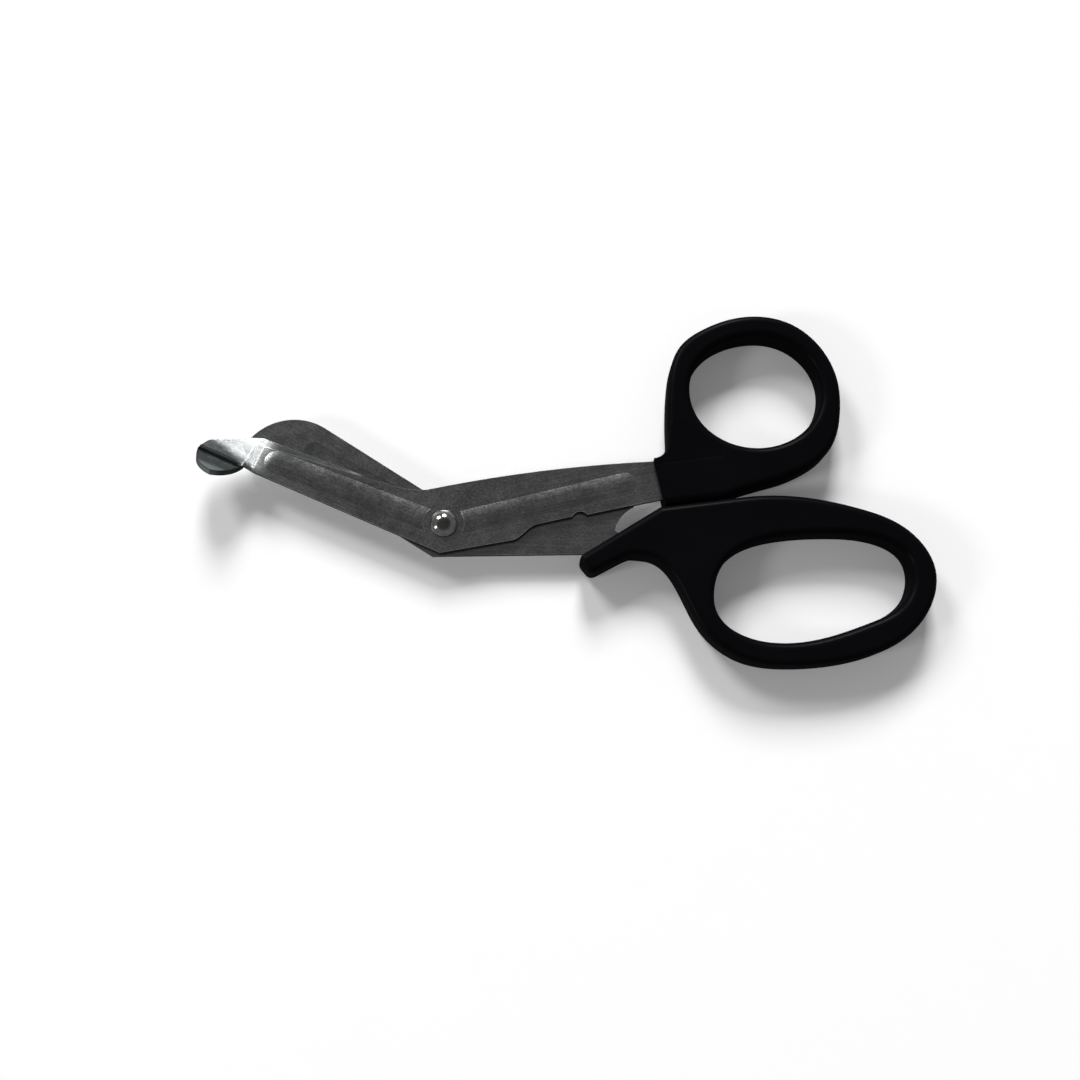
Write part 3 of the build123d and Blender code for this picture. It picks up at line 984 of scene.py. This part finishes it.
@dataclass
class HandlePair:
    """The thumb ring and the finger loop, moulded over the shanks."""

    parts: tuple[DressedPart, DressedPart] = (
        DressedPart("thumb_handle", Slot.HANDLE),
        DressedPart("finger_handle", Slot.HANDLE),
    )
    finish: MouldedPlastic = MouldedPlastic()

    def dress(self) -> None:
        """Gives both handles the same plastic."""
        plastic = self.finish.make()
        for part in self.parts:
            part.dress(plastic)


@dataclass(frozen=True)
class SoftLamp:
    """A square soft lamp that looks at the rivet.

    The level is what it adds to a white card that lies flat.
    """

    name: str
    direction: Point
    side: float
    level: float
    distance: float = 8.0

    def light(self) -> None:
        """Hangs the lamp where its direction says."""
        towards = Vector(self.direction).normalized()
        lamp = bpy.data.lights.new(self.name, "AREA")
        lamp.shape = "SQUARE"
        lamp.size = self.side
        lamp.energy = self.level * math.pi**2 * self.distance**2 / towards.z
        holder = bpy.data.objects.new(self.name, lamp)
        holder.location = pivot_place() + towards * self.distance
        holder.rotation_euler = towards.to_track_quat("Z", "Y").to_euler()
        bpy.context.scene.collection.objects.link(holder)


@dataclass
class Studio:
    """Pale floor, plain soft light and a sky that darkens overhead."""

    floor_side: float = 60.0
    horizon: float = 0.35
    overhead: float = 0.115
    sky_band: Band = (0.55, 0.85)
    lamps: tuple[SoftLamp, ...] = (
        SoftLamp("top_lamp", direction=(0.00, 0.87, 0.49), side=2.20, level=0.52),
        SoftLamp("key_lamp", direction=(-0.52, 0.66, 0.54), side=2.20, level=0.27),
        SoftLamp("left_lamp", direction=(-0.83, -0.28, 0.47), side=1.40, level=0.09),
    )

    def build(self) -> None:
        """Lays the floor and sets the light."""
        self.lay_floor()
        self.light_sky()
        for lamp in self.lamps:
            lamp.light()
        bpy.context.scene.view_settings.view_transform = "Standard"

    def lay_floor(self) -> None:
        """Makes the floor at the height that the scissors rest on."""
        half = self.floor_side / 2.0
        height = CAD_BOX[0][2]
        corners = [(-half, -half), (half, -half), (half, half), (-half, half)]
        mesh = bpy.data.meshes.new("floor")
        mesh.from_pydata([(x, y, height) for x, y in corners], [], [(0, 1, 2, 3)])
        mesh.materials.append(PalePaper().make())
        floor = bpy.data.objects.new("floor", mesh)
        bpy.context.scene.collection.objects.link(floor)

    def light_sky(self) -> None:
        """Makes a sky that is pale at the horizon and dark overhead."""
        world = bpy.data.worlds.new("studio_sky")
        world.use_nodes = True
        graph = NodeGraph(world.node_tree)
        direction = graph.node("ShaderNodeTexCoord", output="Generated")
        fall = graph.axis(direction, "Z").ramp(*self.sky_band)
        level = self.horizon - fall * (self.horizon - self.overhead)
        sky = graph.node("ShaderNodeBackground", sockets={"Strength": level})
        graph.node("ShaderNodeOutputWorld", sockets={"Surface": sky})
        bpy.context.scene.world = world


@dataclass
class PhotoCamera:
    """Camera that looks down on the scissors, leaning a little towards the finger side.

    The lean is in degrees and the sensor in millimetres. The frame's width is what the camera
    sees at the point it aims at.
    """

    lean: float = 12.0
    distance: float = 300.0 * MM
    frame_width: float = 275.4 * MM
    aim_from_pivot: tuple[float, float] = (24.505 * MM, -4.026 * MM)
    aim_height: float = 5.0 * MM
    nearest: float = 10.0 * MM
    sensor: float = 36.0

    def place(self) -> None:
        """Makes the camera and gives it to the scene."""
        pivot = pivot_place()
        right, back = self.aim_from_pivot
        aim = Vector((pivot.x + right, pivot.y + back, self.aim_height))
        lean = math.radians(self.lean)
        away = Vector((0.0, -math.sin(lean), math.cos(lean)))
        data = bpy.data.cameras.new("photo_camera")
        data.sensor_width = self.sensor
        data.lens = self.sensor * self.distance / self.frame_width
        data.clip_start = self.nearest
        camera = bpy.data.objects.new("photo_camera", data)
        camera.location = aim + away * self.distance
        camera.rotation_euler = (lean, 0.0, 0.0)
        bpy.context.scene.collection.objects.link(camera)
        bpy.context.scene.camera = camera


def main() -> None:
    """Dresses the pieces in order and sets the studio."""
    logging.basicConfig(level=logging.INFO, format="%(name)s: %(message)s")
    Blade(Face.FRONT, rake=23.9, shank_rise=13.0, foot=FootPolish()).dress()
    Blade(Face.REAR, rake=32.7, shank_rise=0.0).dress()
    Rivet().dress()
    HandlePair().dress()
    Studio().build()
    PhotoCamera().place()


if __name__ == "__main__":
    main()
